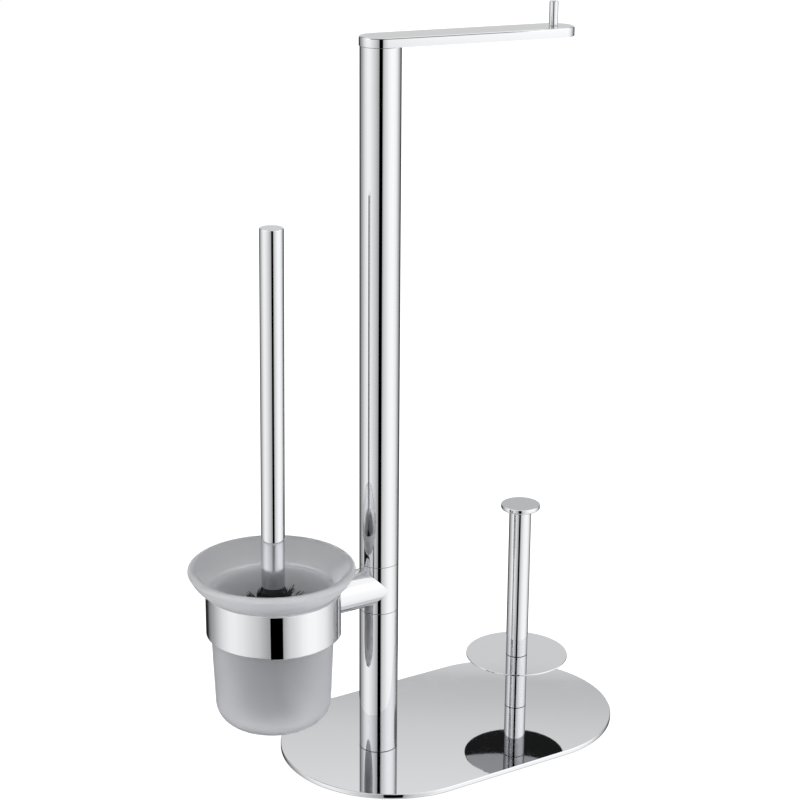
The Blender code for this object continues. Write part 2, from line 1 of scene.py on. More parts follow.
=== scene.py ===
import math
import random

import bmesh
import bpy
from mathutils import Matrix, Vector


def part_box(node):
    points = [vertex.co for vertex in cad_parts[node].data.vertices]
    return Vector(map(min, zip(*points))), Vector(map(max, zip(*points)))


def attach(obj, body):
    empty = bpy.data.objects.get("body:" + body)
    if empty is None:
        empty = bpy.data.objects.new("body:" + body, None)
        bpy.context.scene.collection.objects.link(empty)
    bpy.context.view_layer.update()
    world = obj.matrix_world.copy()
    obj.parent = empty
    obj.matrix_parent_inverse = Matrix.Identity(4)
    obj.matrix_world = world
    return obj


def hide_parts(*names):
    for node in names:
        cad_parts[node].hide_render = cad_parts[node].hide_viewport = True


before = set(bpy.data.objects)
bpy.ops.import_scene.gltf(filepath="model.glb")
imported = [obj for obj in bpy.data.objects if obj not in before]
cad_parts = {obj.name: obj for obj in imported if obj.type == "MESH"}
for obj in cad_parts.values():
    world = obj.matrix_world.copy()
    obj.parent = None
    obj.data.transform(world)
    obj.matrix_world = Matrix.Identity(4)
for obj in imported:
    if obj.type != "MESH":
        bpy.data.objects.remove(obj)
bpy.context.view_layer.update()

mm = 0.001
print("stand: frame loaded,", len(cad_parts), "nodes")


# small helpers

def toLinear(hexCode):  # "#rrggbb" in sRGB to linear RGBA
    channels = [int(hexCode[i:i + 2], 16) / 255 for i in (1, 3, 5)]
    return [c / 12.92 if c <= 0.04045 else ((c + 0.055) / 1.055) ** 2.4 for c in channels] + [1.0]


def grey(value):
    return value, value, value, 1.0


def addNode(tree, kind, settings=None, inputs=None, links=None):
    node = tree.nodes.new(kind)
    for key, value in (settings or {}).items():
        setattr(node, key, value)
    for key, value in (inputs or {}).items():
        node.inputs[key].default_value = value
    for key, source in (links or {}).items():
        tree.links.new(source, node.inputs[key])
    return node


def newMaterial(name):
    material = bpy.data.materials.new(name)
    material.use_nodes = True
    tree = material.node_tree
    return material, tree, tree.nodes["Principled BSDF"]


def addRamp(tree, source, stops):  # stops are (place, grey or colour)
    node = addNode(tree, "ShaderNodeValToRGB", links={"Fac": source})
    ramp = node.color_ramp
    while len(ramp.elements) < len(stops):
        ramp.elements.new(0.5)
    for element, (place, value) in zip(ramp.elements, stops):
        element.position = place
        element.color = value if hasattr(value, "__len__") else grey(value)
    return node


def deselectAll():
    if bpy.context.object and bpy.context.object.mode != "OBJECT":
        bpy.ops.object.mode_set(mode="OBJECT")
    bpy.ops.object.select_all(action="DESELECT")


def pick(piece):
    deselectAll()
    piece.select_set(True)
    bpy.context.view_layer.objects.active = piece


def selectWhere(piece, kind, test):  # selects "faces", "edges" or "verts" in edit mode
    bpy.ops.object.mode_set(mode="EDIT")
    shape = bmesh.from_edit_mesh(piece.data)
    modes = {"verts": "VERT", "edges": "EDGE", "faces": "FACE"}
    bpy.ops.mesh.select_mode(type=modes[kind])
    bpy.ops.mesh.select_all(action="DESELECT")
    for element in getattr(shape, kind):
        if test(element):
            element.select_set(True)
    shape.select_flush_mode()
    bmesh.update_edit_mesh(piece.data)


def middleOf(low, high, height):  # the point at a height over the middle of a box
    return (low.x + high.x) / 2, (low.y + high.y) / 2, height


def finishPiece(piece, body, material, node, angle=35.0):
    pick(piece)
    bpy.ops.object.transform_apply(location=True, rotation=True, scale=True)
    bpy.ops.object.shade_smooth_by_angle(angle=math.radians(angle))
    piece.data.materials.clear()
    piece.data.materials.append(material)
    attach(piece, body)
    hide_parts(node)


def roundCorners(corners, closed=True, segments=5, flatRun=0.08 * mm):
    # corners are (radius, height, fillet); the short run beside each fillet keeps flats flat
    outline = []
    count = len(corners)
    for i, (r, z, fillet) in enumerate(corners):
        here = Vector((r, z))
        if fillet <= 0.0 or (not closed and i in (0, count - 1)):
            outline.append(here)
            continue
        before = (Vector(corners[i - 1][:2]) - here).normalized()
        after = (Vector(corners[(i + 1) % count][:2]) - here).normalized()
        half = before.angle(after) / 2
        reach = fillet / math.tan(half)
        centre = here + (before + after).normalized() * fillet / math.sin(half)
        start = here + before * reach - centre
        turn = start.angle_signed(here + after * reach - centre)
        guard = min(flatRun, reach)
        outline.append(here + before * (reach + guard))
        for step in range(segments + 1):
            share = turn * step / segments
            spoke = Vector((start.x * math.cos(share) + start.y * math.sin(share),
                            -start.x * math.sin(share) + start.y * math.cos(share)))
            outline.append(centre + spoke)
        outline.append(here + after * (reach + guard))
    return [(point[0], point[1]) for point in outline]


def sleeveOutline(inner, outer, height, topEdge, underEdge, segments=5):
    # a tube's wall, with its two outer rims rounded
    return roundCorners([(inner, height, 0.0), (outer, height, topEdge),
                         (outer, 0.0, underEdge), (inner, 0.0, 0.0)], segments=segments)


mergeGap = 0.002 * mm
levelCosine = 0.9  # a face this level or more counts as flat


def drawOutline(name, outline):
    # a plane merged into one vertex is extruded along the outline, and edit mode stays on
    deselectAll()
    bpy.ops.mesh.primitive_plane_add(location=(0.0, 0.0, 0.0))
    piece = bpy.context.object
    piece.name = piece.data.name = name
    bpy.ops.object.mode_set(mode="EDIT")
    bpy.ops.mesh.select_mode(type="VERT")
    bpy.ops.mesh.select_all(action="SELECT")
    bpy.ops.mesh.merge(type="CENTER")
    bpy.ops.transform.translate(value=(outline[0][0], 0.0, outline[0][1]))
    for (r0, z0), (r1, z1) in zip(outline, outline[1:]):
        bpy.ops.mesh.extrude_region_move(
            TRANSFORM_OT_translate={"value": (r1 - r0, 0.0, z1 - z0)})
    return piece


def turnPiece(name, outline, centre, steps, closed=True):  # spun round the upright axis
    piece = drawOutline(name, outline)
    if closed:
        shape = bmesh.from_edit_mesh(piece.data)
        shape.verts.ensure_lookup_table()
        ends = [vert for vert in shape.verts if len(vert.link_edges) == 1]
        shape.edges.new(ends)
        bmesh.update_edit_mesh(piece.data)
    bpy.ops.mesh.select_all(action="SELECT")
    bpy.ops.mesh.spin(steps=steps, angle=2 * math.pi, center=(0.0, 0.0, 0.0),
                      axis=(0.0, 0.0, 1.0))
    bpy.ops.mesh.select_all(action="SELECT")
    bpy.ops.mesh.remove_doubles(threshold=mergeGap)
    bpy.ops.mesh.normals_make_consistent(inside=False)
    bpy.ops.object.mode_set(mode="OBJECT")
    piece.location = centre
    return piece


def obroundPiece(name, length, width, thickness, topEdge, underEdge, arcSides, segments=5,
                 flatRun=0.15 * mm):
    # a disc is pulled apart along x, given its thickness, and its rims are rounded
    deselectAll()
    bpy.ops.mesh.primitive_circle_add(
        vertices=arcSides, radius=width / 2, fill_type="NGON", location=(0.0, 0.0, 0.0))
    piece = bpy.context.object
    piece.name = piece.data.name = name
    half = (length - width) / 2
    for side in (1.0, -1.0):
        selectWhere(piece, "verts", lambda v: side * v.co.x > mergeGap / 2)
        bpy.ops.transform.translate(value=(side * half, 0.0, 0.0))
    bpy.ops.mesh.select_all(action="SELECT")
    bpy.ops.mesh.extrude_region_move(TRANSFORM_OT_translate={"value": (0.0, 0.0, thickness)})
    bpy.ops.mesh.select_all(action="SELECT")
    bpy.ops.mesh.normals_make_consistent(inside=False)
    for facing, edge in ((1.0, topEdge), (-1.0, underEdge)):
        selectWhere(piece, "faces", lambda f: facing * f.normal.z > levelCosine)
        bpy.ops.mesh.inset(thickness=edge + flatRun)
        selectWhere(piece, "edges", lambda e: len(e.link_faces) == 2
                    and abs(e.link_faces[0].normal.z - e.link_faces[1].normal.z) > levelCosine
                    and facing * (e.verts[0].co.z - thickness / 2) > 0.0)
        bpy.ops.mesh.bevel(offset=edge, segments=segments, profile=0.5, affect="EDGES")
    bpy.ops.object.mode_set(mode="OBJECT")
    return piece


holeSides = 48


def cutAway(piece, cutter):
    cut = piece.modifiers.new("cut", "BOOLEAN")
    cut.object = cutter
    cut.solver = "EXACT"
    pick(piece)
    bpy.ops.object.modifier_apply(modifier=cut.name)
    bpy.data.objects.remove(cutter)


def sinkCutter(wide, narrow, depth, spot, tilt, shank):
    # cone of a countersunk hole from spot on, and a straight shank after it
    deselectAll()
    way = Vector((math.sin(tilt), 0.0, math.cos(tilt)))
    bpy.ops.mesh.primitive_cone_add(
        vertices=holeSides, radius1=wide, radius2=narrow, depth=depth,
        location=Vector(spot) + way * depth / 2, rotation=(0.0, tilt, 0.0))
    cutter = bpy.context.object
    selectWhere(cutter, "faces", lambda f: f.normal.z > levelCosine)
    bpy.ops.mesh.extrude_region_move(TRANSFORM_OT_translate={"value": way * shank})
    bpy.ops.object.mode_set(mode="OBJECT")
    return cutter


# materials

def addNoise(tree, place, size, detail):  # a cloudy pattern of a real size
    return addNode(tree, "ShaderNodeTexNoise", inputs={"Scale": 1.0 / size, "Detail": detail},
                   links={"Vector": place.outputs["Object"]})


def varyColour(tree, shader, source, finish):
    tone = addRamp(tree, source, [(finish["darkTo"], toLinear(finish["dark"])),
                                  (finish["lightFrom"], toLinear(finish["light"]))])
    tree.links.new(tone.outputs["Color"], shader.inputs["Base Color"])


def varyRoughness(tree, shader, source, least, most, low=0.0, high=1.0):
    spread = addNode(tree, "ShaderNodeMapRange",
                     inputs={"From Min": low, "From Max": high, "To Min": least, "To Max": most},
                     links={"Value": source})
    tree.links.new(spread.outputs["Result"], shader.inputs["Roughness"])


def addBump(tree, shader, source, strength, depth):
    bump = addNode(tree, "ShaderNodeBump", inputs={"Strength": strength, "Distance": depth},
                   links={"Height": source})
    tree.links.new(bump.outputs["Normal"], shader.inputs["Normal"])


chromeFinish = {
    "colour": "#cbccce",  # bright nickel-chrome plate gives back about 60 % of the light
    "polishRoughness": 0.025,
    "hazeRoughness": 0.06,
    "hazeSize": 14.0 * mm,  # faint cloudy wipe marks
    "hazeDetail": 4.0,
    "hazeBreakUp": 0.6,
    "hazeFrom": 0.45,
    "hazeTo": 0.8,
    "grainSize": 0.5 * mm,
    "grainDetail": 2.0,
    "grainStrength": 0.004,
    "grainDepth": 0.02 * mm,
}


def makeChrome():
    # chrome electroplated over polished steel: a clean mirror with very faint wipe haze
    finish = chromeFinish
    material, tree, shader = newMaterial("polishedChromePlate")
    shader.inputs["Base Color"].default_value = toLinear(finish["colour"])
    shader.inputs["Metallic"].default_value = 1.0
    place = addNode(tree, "ShaderNodeTexCoord")
    haze = addNoise(tree, place, finish["hazeSize"], finish["hazeDetail"])
    haze.inputs["Roughness"].default_value = finish["hazeBreakUp"]
    varyRoughness(tree, shader, haze.outputs["Fac"], finish["polishRoughness"],
                  finish["hazeRoughness"], low=finish["hazeFrom"], high=finish["hazeTo"])
    grain = addNoise(tree, place, finish["grainSize"], finish["grainDetail"])
    addBump(tree, shader, grain.outputs["Fac"], finish["grainStrength"], finish["grainDepth"])
    return material


zincFinish = {"light": "#b9bcc0", "dark": "#9a9da3", "darkTo": 0.3, "lightFrom": 0.7,
              "spangleSize": 2.5 * mm, "detail": 5.0, "leastRough": 0.28, "mostRough": 0.5}


def makeZinc():
    # zinc plated turning steel: soft grey metal with a cloudy passivated surface
    finish = zincFinish
    material, tree, shader = newMaterial("zincPlatedSteel")
    shader.inputs["Metallic"].default_value = 1.0
    place = addNode(tree, "ShaderNodeTexCoord")
    cloud = addNoise(tree, place, finish["spangleSize"], finish["detail"])
    varyColour(tree, shader, cloud.outputs["Fac"], finish)
    varyRoughness(tree, shader, cloud.outputs["Fac"], finish["leastRough"], finish["mostRough"])
    return material


glassFinish = {
    "colour": "#fafbfe",
    "ior": 1.5,
    "etchRoughness": 0.42,
    "etchSpread": 0.08,
    "etchGrain": 0.35 * mm,  # acid etch is finer than this; drawn as coarse as it can show
    "etchDetail": 3.0,
    "etchStrength": 0.05,
    "etchDepth": 0.05 * mm,
    # by height over the foot: the radius of the wall's middle, and how clear its two sides are
    "wallMiddle": ((0.0, 0.0), (2.5 * mm, 24.0 * mm), (8.0 * mm, 37.0 * mm),
                   (17.0 * mm, 41.3 * mm), (105.0 * mm, 44.9 * mm), (107.0 * mm, 47.7 * mm),
                   (121.2 * mm, 59.2 * mm), (124.0 * mm, 60.0 * mm)),
    # painted light and shade: how clear each side is, by height, is set so the inner wall shows
    # lighter, the flare's inside darker and the lip's front lighter
    "clearOutside": ((0.0, 0.90), (10.0 * mm, 0.905), (30.0 * mm, 0.96), (50.0 * mm, 0.98),
                     (102.0 * mm, 0.99), (107.0 * mm, 0.80), (124.0 * mm, 0.80)),
    "clearInside": ((0.0, 0.58), (105.0 * mm, 0.58), (109.0 * mm, 0.99), (124.0 * mm, 0.99)),
    "radiusScale": 10.0,  # brings the radii up into a ramp's span of 0 to 1
}


def makeFrostedGlass():
    # pressed glass, acid etched: light passes but every outline behind it melts away
    finish = glassFinish
    material, tree, shader = newMaterial("acidEtchedGlass")
    shader.inputs["Base Color"].default_value = toLinear(finish["colour"])
    shader.inputs["IOR"].default_value = finish["ior"]
    place = addNode(tree, "ShaderNodeTexCoord")
    # painted light and shade: the inner wall below the throat lets less light straight through,
    # so it scatters more and shows lighter, while the flare's inside lets nearly all through and
    # shows darker
    low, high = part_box("glass_cup")
    tall = high.z - low.z
    scale = finish["radiusScale"]
    fromFoot = addNode(tree, "ShaderNodeVectorMath", settings={"operation": "SUBTRACT"},
                       inputs={1: middleOf(low, high, low.z)},
                       links={0: place.outputs["Object"]})
    parts = addNode(tree, "ShaderNodeSeparateXYZ", links={"Vector": fromFoot.outputs["Vector"]})
    rise = addNode(tree, "ShaderNodeMapRange", inputs={"From Max": tall},
                   links={"Value": parts.outputs["Z"]})
    flat = addNode(tree, "ShaderNodeVectorMath", settings={"operation": "MULTIPLY"},
                   inputs={1: (scale, scale, 0.0)}, links={0: fromFoot.outputs["Vector"]})
    radius = addNode(tree, "ShaderNodeVectorMath", settings={"operation": "LENGTH"},
                     links={0: flat.outputs["Vector"]})
    middle, outside, inside = [
        addRamp(tree, rise.outputs["Result"],
                [(height / tall, value * size) for height, value in finish[key]])
        for key, size in (("wallMiddle", scale), ("clearOutside", 1.0), ("clearInside", 1.0))]
    within = addNode(tree, "ShaderNodeMath", settings={"operation": "LESS_THAN"},
                     links={0: radius.outputs["Value"], 1: middle.outputs["Color"]})
    clear = addNode(tree, "ShaderNodeMix",
                    links={0: within.outputs["Value"], 2: outside.outputs["Color"],
                           3: inside.outputs["Color"]})
    tree.links.new(clear.outputs[0], shader.inputs["Transmission Weight"])
    etch = addNoise(tree, place, finish["etchGrain"], finish["etchDetail"])
    least = finish["etchRoughness"] - finish["etchSpread"] / 2
    varyRoughness(tree, shader, etch.outputs["Fac"], least, least + finish["etchSpread"])
    addBump(tree, shader, etch.outputs["Fac"], finish["etchStrength"], finish["etchDepth"])
    return material


nylonLook = {"ior": 1.53, "detail": 3.0, "roughSpread": 0.08, "darkTo": 0.3, "lightFrom": 0.75}
nylonFinishes = {
    "blackMouldedNylon": {"dark": "#0c0c0d", "light": "#1b1b1d", "grain": 1.5 * mm,
                          "roughness": 0.45},
    "blackBristleNylon": {"dark": "#060607", "light": "#131315", "grain": 3.0 * mm,
                          "roughness": 0.5},
}


def makeNylon(name):
    # nylon: a little sheen over a matt ground, speckled where it is moulded or drawn
    finish = {**nylonLook, **nylonFinishes[name]}
    material, tree, shader = newMaterial(name)
    shader.inputs["IOR"].default_value = finish["ior"]
    place = addNode(tree, "ShaderNodeTexCoord")
    speck = addNoise(tree, place, finish["grain"], finish["detail"])
    varyColour(tree, shader, speck.outputs["Fac"], finish)
    varyRoughness(tree, shader, speck.outputs["Fac"],
                  finish["roughness"] - finish["roughSpread"],
                  finish["roughness"] + finish["roughSpread"])
    return material


padFinish = {"dark": "#101011", "light": "#262628", "darkTo": 0.1, "lightFrom": 0.6,
             "roughness": 0.9, "poreSize": 1.2 * mm, "poreStrength": 0.4, "poreDepth": 0.2 * mm}


def makePadRubber():
    # closed cell foam rubber: matt black with fine pores
    finish = padFinish
    material, tree, shader = newMaterial("foamRubberPad")
    place = addNode(tree, "ShaderNodeTexCoord")
    pores = addNode(tree, "ShaderNodeTexVoronoi", inputs={"Scale": 1.0 / finish["poreSize"]},
                    links={"Vector": place.outputs["Object"]})
    varyColour(tree, shader, pores.outputs["Distance"], finish)
    shader.inputs["Roughness"].default_value = finish["roughness"]
    addBump(tree, shader, pores.outputs["Distance"], finish["poreStrength"], finish["poreDepth"])
    return material


chrome = makeChrome()
zinc = makeZinc()
frostedGlass = makeFrostedGlass()
blackNylon = makeNylon("blackMouldedNylon")
bristleNylon = makeNylon("blackBristleNylon")
padRubber = makePadRubber()
print("stand: materials made")


# base plate with its rounded rim and the two countersunk holes under it

basePlate = {"topEdge": 0.7 * mm, "underEdge": 1.1 * mm, "arcSides": 192,
             "holeRadius": 3.3 * mm, "sinkRadius": 6.0 * mm, "sinkDepth": 3.0 * mm,
             "shank": 10.0 * mm, "overrun": 0.1 * mm}


def makeBasePlate():
    low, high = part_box("base_plate")
    size = high - low
    plate = obroundPiece("basePlateBody", size.x, size.y, size.z, basePlate["topEdge"],
                         basePlate["underEdge"], basePlate["arcSides"])
    plate.location = middleOf(low, high, low.z)
    for screw in ("column_screw", "post_screw"):
        screwLow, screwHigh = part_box(screw)
        spot = ((screwLow.x + screwHigh.x) / 2, 0.0, low.z - basePlate["overrun"])
        cutAway(plate, sinkCutter(basePlate["sinkRadius"], basePlate["holeRadius"],
                                  basePlate["sinkDepth"], spot, 0.0, basePlate["shank"]))
    finishPiece(plate, "stand", chrome, "base_plate")


makeBasePlate()
print("stand: base plate made")


# column tubes and post tubes, with softly broken ends

tubes = {
    "lowerColumnTube": {"node": "lower_column", "wall": 1.2 * mm, "edge": 0.12 * mm},
    "upperColumnTube": {"node": "upper_column", "wall": 1.2 * mm, "edge": 0.05 * mm},
    "lowerPostTube": {"node": "lower_post", "wall": 1.1 * mm, "edge": 0.08 * mm},
    "upperPostTube": {"node": "upper_post", "wall": 1.1 * mm, "edge": 0.08 * mm},
}
tubeSides = 160


def makeTubes():
    for name, sizes in tubes.items():
        low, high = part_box(sizes["node"])
        outer = (high.y - low.y) / 2
        outline = sleeveOutline(outer - sizes["wall"], outer, high.z - low.z, sizes["edge"],
                                sizes["edge"])
        tube = turnPiece(name, outline, ((low.x + high.x) / 2, 0.0, low.z), steps=tubeSides)
        finishPiece(tube, "stand", chrome, sizes["node"])


makeTubes()
print("stand: tubes made")


# spare roll disc and post cap

rollDisc = {"edge": 0.3 * mm, "bore": 3.3 * mm, "sides": 192}
postCap = {"topEdge": 0.7 * mm, "underEdge": 1.3 * mm, "height": 3.8 * mm, "spigot": 7.3 * mm,
           "spigotEdge": 0.3 * mm, "bore": 3.3 * mm, "boreDepth": 7.3 * mm, "sides": 128}


def makeRollDisc():
    low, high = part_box("roll_disc")
    outline = sleeveOutline(rollDisc["bore"], (high.x - low.x) / 2, high.z - low.z,
                            rollDisc["edge"], rollDisc["edge"], segments=4)
    disc = turnPiece("spareRollDisc", outline, ((low.x + high.x) / 2, 0.0, low.z),
                     steps=rollDisc["sides"])
    finishPiece(disc, "stand", chrome, "roll_disc")


def makePostCap():
    discLow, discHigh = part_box("roll_disc")
    low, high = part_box("post_cap")
    outer = (high.x - low.x) / 2
    top = high.z - low.z
    foot = top - postCap["height"]
    spigot = postCap["spigot"]
    outline = roundCorners([
        (0.0, top, 0.0), (outer, top, postCap["topEdge"]), (outer, foot, postCap["underEdge"]),
        (spigot, foot, 0.0), (spigot, 0.0, postCap["spigotEdge"]), (postCap["bore"], 0.0, 0.0),
        (postCap["bore"], postCap["boreDepth"], 0.0), (0.0, postCap["boreDepth"], 0.0)],
        closed=False)
    cap = turnPiece("postEndCap", outline, ((discLow.x + discHigh.x) / 2, 0.0, low.z),
                    steps=postCap["sides"], closed=False)
    finishPiece(cap, "stand", chrome, "post_cap")


makeRollDisc()
makePostCap()
print("stand: spare roll disc and cap made")


# roll arm and its stop pin

rollArm = {"reach": 137.7 * mm, "width": 31.2 * mm, "turn": math.radians(-7.7),
           "topEdge": 1.2 * mm, "underEdge": 0.12 * mm, "arcSides": 128, "bore": 4.3 * mm,
           "boreDepth": 4.9 * mm, "overrun": 1.0 * mm}
stopPin = {"radius": 3.3 * mm, "height": 18.0 * mm, "edge": 0.7 * mm, "lift": 0.3 * mm,
           "footEdge": 0.1 * mm, "shank": 2.0 * mm, "shankDepth": 4.4 * mm,
           "shankEdge": 0.2 * mm, "hole": 2.3 * mm, "holeDepth": 4.7 * mm,
           "drillLength": 10.0 * mm, "sides": 64}


def drill(piece, radius, start, depth):  # round blind hole from start upwards
    deselectAll()
    bpy.ops.mesh.primitive_cylinder_add(vertices=holeSides, radius=radius, depth=depth,
                                        location=(start[0], start[1], start[2] + depth / 2))
    cutAway(piece, bpy.context.object)


def makeRollArm():
    low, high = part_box("roll_arm")
    columnLow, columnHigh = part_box("upper_column")
    column = ((columnLow.x + columnHigh.x) / 2, 0.0, low.z)
    thickness = high.z - low.z
    reach = rollArm["reach"]
    arm = obroundPiece("rollArmBar", reach + rollArm["width"], rollArm["width"], thickness,
                       rollArm["topEdge"], rollArm["underEdge"], rollArm["arcSides"])
    drill(arm, rollArm["bore"], (-reach / 2, 0.0, -rollArm["overrun"]),
          rollArm["boreDepth"] + rollArm["overrun"])
    drill(arm, stopPin["hole"], (reach / 2, 0.0, thickness - stopPin["holeDepth"]),
          stopPin["drillLength"])
    toPlace = (Matrix.Translation(column) @ Matrix.Rotation(rollArm["turn"], 4, "Z")
               @ Matrix.Translation((reach / 2, 0.0, 0.0)))
    arm.matrix_world = toPlace
    finishPiece(arm, "stand", chrome, "roll_arm")
    outline = roundCorners([
        (0.0, stopPin["height"], 0.0),
        (stopPin["radius"], stopPin["height"], stopPin["edge"]),
        (stopPin["radius"], stopPin["lift"], stopPin["footEdge"]),
        (stopPin["shank"], stopPin["lift"], 0.0),
        (stopPin["shank"], -stopPin["shankDepth"], stopPin["shankEdge"]),
        (0.0, -stopPin["shankDepth"], 0.0)], closed=False)
    top = toPlace @ Vector((reach / 2, 0.0, thickness))
    pin = turnPiece("armStopPin", outline, top, steps=stopPin["sides"], closed=False)
    finishPiece(pin, "stand", chrome, "stop_pin")


makeRollArm()
print("stand: roll arm made")


# brush holder: collar with the brazed side arm, saddle, ring

holderTee = {"wall": 1.2 * mm, "topEdge": 0.05 * mm, "underEdge": 0.12 * mm,
             "sides": 192, "armRadius": 14.95 * mm, "armWall": 1.4 * mm, "armSides": 192,
             "intoCollar": 0.02 * mm, "copeGap": 0.3 * mm}
saddle = {"halfAngle": math.radians(40.0), "edge": 0.35 * mm, "sides": 56, "gap": 0.3 * mm}
ring = {"edge": 0.35 * mm, "wall": 1.5 * mm, "sides": 240, "screwShank": 2.1 * mm,
        "screwGap": 0.08 * mm, "overrun": 0.6 * mm}


def ringAxis():  # the ring's centre and its outer radius
    low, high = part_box("holder_ring")
    return (low + high) / 2, (high.x - low.x) / 2


def ringScrewCutter():  # the countersink runs at 45 degrees through the ring's wall
    low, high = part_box("ring_screw")
    over = ring["overrun"]
    head = (high.y - low.y) / 2 + ring["screwGap"]
    spot = (low.x - over, (low.y + high.y) / 2, (low.z + high.z) / 2)
    return sinkCutter(head + over, ring["screwShank"], head + over - ring["screwShank"],
                      spot, math.radians(90.0), high.x - low.x)


def makeTee():
    low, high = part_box("upper_column")
    columnX = (low.x + high.x) / 2
    outer = (high.y - low.y) / 2
    low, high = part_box("holder_tee")
    middle = (high.z + low.z) / 2
    outline = sleeveOutline(outer - holderTee["wall"], outer, high.z - low.z,
                            holderTee["topEdge"], holderTee["underEdge"])
    collar = turnPiece("holderCollar", outline, (columnX, 0.0, low.z), steps=holderTee["sides"])
    pick(collar)
    bpy.ops.object.transform_apply(location=True, rotation=True, scale=True)
    centre, _ = ringAxis()
    _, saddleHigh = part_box("holder_saddle")
    copeRadius = saddleHigh.x - centre.x + holderTee["copeGap"]
    # the side arm is a tube whose ends are moved to follow the collar and the saddle
    radius = holderTee["armRadius"]
    deselectAll()
    bpy.ops.mesh.primitive_cylinder_add(
        vertices=holderTee["armSides"], radius=radius, depth=1.0, end_fill_type="NOTHING",
        location=(0.0, 0.0, 0.0), rotation=(0.0, math.radians(90.0), 0.0))
    arm = bpy.context.object
    bpy.ops.object.transform_apply(location=False, rotation=True, scale=False)
    for vert in arm.data.vertices:
        if vert.co.x > 0.0:
            vert.co.x = (columnX - math.sqrt(max(outer ** 2 - vert.co.y ** 2, 0.0))
                         + holderTee["intoCollar"])
        else:
            vert.co.x = centre.x + math.sqrt(copeRadius ** 2 - vert.co.y ** 2)
        vert.co.z += middle
    wall = arm.modifiers.new("wall", "SOLIDIFY")
    wall.thickness = holderTee["armWall"]
    wall.offset = -1.0
    pick(arm)
    bpy.ops.object.modifier_apply(modifier=wall.name)
    deselectAll()
    arm.select_set(True)
    collar.select_set(True)
    bpy.context.view_layer.objects.active = collar
    bpy.ops.object.join()
    finishPiece(collar, "stand", chrome, "holder_tee")


def makeSaddle():
    centre, ringRadius = ringAxis()
    low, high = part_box("holder_saddle")
    outline = sleeveOutline(ringRadius + saddle["gap"], high.x - centre.x, high.z - low.z,
                            saddle["edge"], saddle["edge"], segments=4)
    # the outline is spun only round the part of the ring that faces the column
    piece = drawOutline("holderSaddlePlate", outline)
    bpy.ops.mesh.select_all(action="SELECT")
    bpy.ops.mesh.edge_face_add()
    bpy.ops.mesh.select_all(action="SELECT")
    bpy.ops.transform.rotate(value=saddle["halfAngle"], orient_axis="Z",
                             center_override=(0.0, 0.0, 0.0))
    shape = bmesh.from_edit_mesh(piece.data)
    turned = 1.0 if sum(v.co.y for v in shape.verts) > 0.0 else -1.0
    bpy.ops.mesh.spin(steps=saddle["sides"], angle=2 * saddle["halfAngle"],
                      center=(0.0, 0.0, 0.0), axis=(0.0, 0.0, -turned))
    bpy.ops.mesh.select_all(action="SELECT")
    bpy.ops.mesh.remove_doubles(threshold=mergeGap)
    bpy.ops.mesh.select_mode(type="EDGE")
    bpy.ops.mesh.select_all(action="DESELECT")
    bpy.ops.mesh.select_non_manifold()
    bpy.ops.mesh.edge_face_add()
    bpy.ops.mesh.select_all(action="SELECT")
    bpy.ops.mesh.normals_make_consistent(inside=False)
    bpy.ops.object.mode_set(mode="OBJECT")
    piece.location = (centre.x, centre.y, low.z)
    cutAway(piece, ringScrewCutter())
    finishPiece(piece, "stand", chrome, "holder_saddle")


def makeRing():
    low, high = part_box("holder_ring")
    centre, outer = ringAxis()
    height = high.z - low.z
    inner = outer - ring["wall"]
    outline = roundCorners([
        (inner, height, ring["edge"]), (outer, height, ring["edge"]),
        (outer, 0.0, ring["edge"]), (inner, 0.0, ring["edge"])], segments=4)
    band = turnPiece("cupRingBand", outline, (centre.x, centre.y, low.z), steps=ring["sides"])
    cutAway(band, ringScrewCutter())
    finishPiece(band, "stand", chrome, "holder_ring")


makeTee()
makeSaddle()
makeRing()
print("stand: brush holder made")


# glass cup, heights from its underside

cup = {"seatRise": 105.4 * mm, "bodyRadius": 47.1 * mm, "footRadius": 43.5 * mm,
       "wall": 4.4 * mm, "floor": 5.2 * mm, "floorRing": 12.0 * mm, "corner": 17.0 * mm,
       "flareHeight": 18.8 * mm, "lipReach": 62.2 * mm, "lipRadius": 3.0 * mm,
       "shoulder": (3.3 * mm, 1.2 * mm), "bulge": 1.6968 * mm, "neckTop": 0.4 * mm,
       "neck": 3.0 * mm, "throatRun": 2.4 * mm, "throatRise": 2.2 * mm, "throatDepth": 7.0 * mm,
       "throatPull": (0.3 * mm, 1.5 * mm), "flarePull": (4.9 * mm, 6.3 * mm),
       # arcs as first and last angle in degrees and their count of steps, then other counts
       "lipOutside": (118.0, -42.0, 20), "lipInside": (142.0, 122.0, 4),
       "footOutside": (2.5, -90.0, 18), "footInside": (-90.0, 2.0, 14),
       "shoulderSteps": 8, "neckSteps": 5, "throatSteps": 6, "flareSteps": 9, "taperSteps": 9,
       "sides": 160, "smoothAngle": 60.0}


def arcPoints(centre, radius, start, end, count):
    angles = [math.radians(start + (end - start) * i / count) for i in range(count + 1)]
    return [(centre[0] + radius * math.cos(angle), centre[1] + radius * math.sin(angle))
            for angle in angles]


def blendPoints(start, pull, end, count):  # smooth bend from start to end, drawn towards pull
    points = []
    for i in range(1, count):
        t = i / count
        points.append(tuple((1 - t) ** 2 * a + 2 * t * (1 - t) * b + t * t * c
                            for a, b, c in zip(start, pull, end)))
    return points


def straightPoints(start, end, count):  # the points between start and end
    return [tuple(a + (b - a) * i / count for a, b in zip(start, end)) for i in range(1, count)]


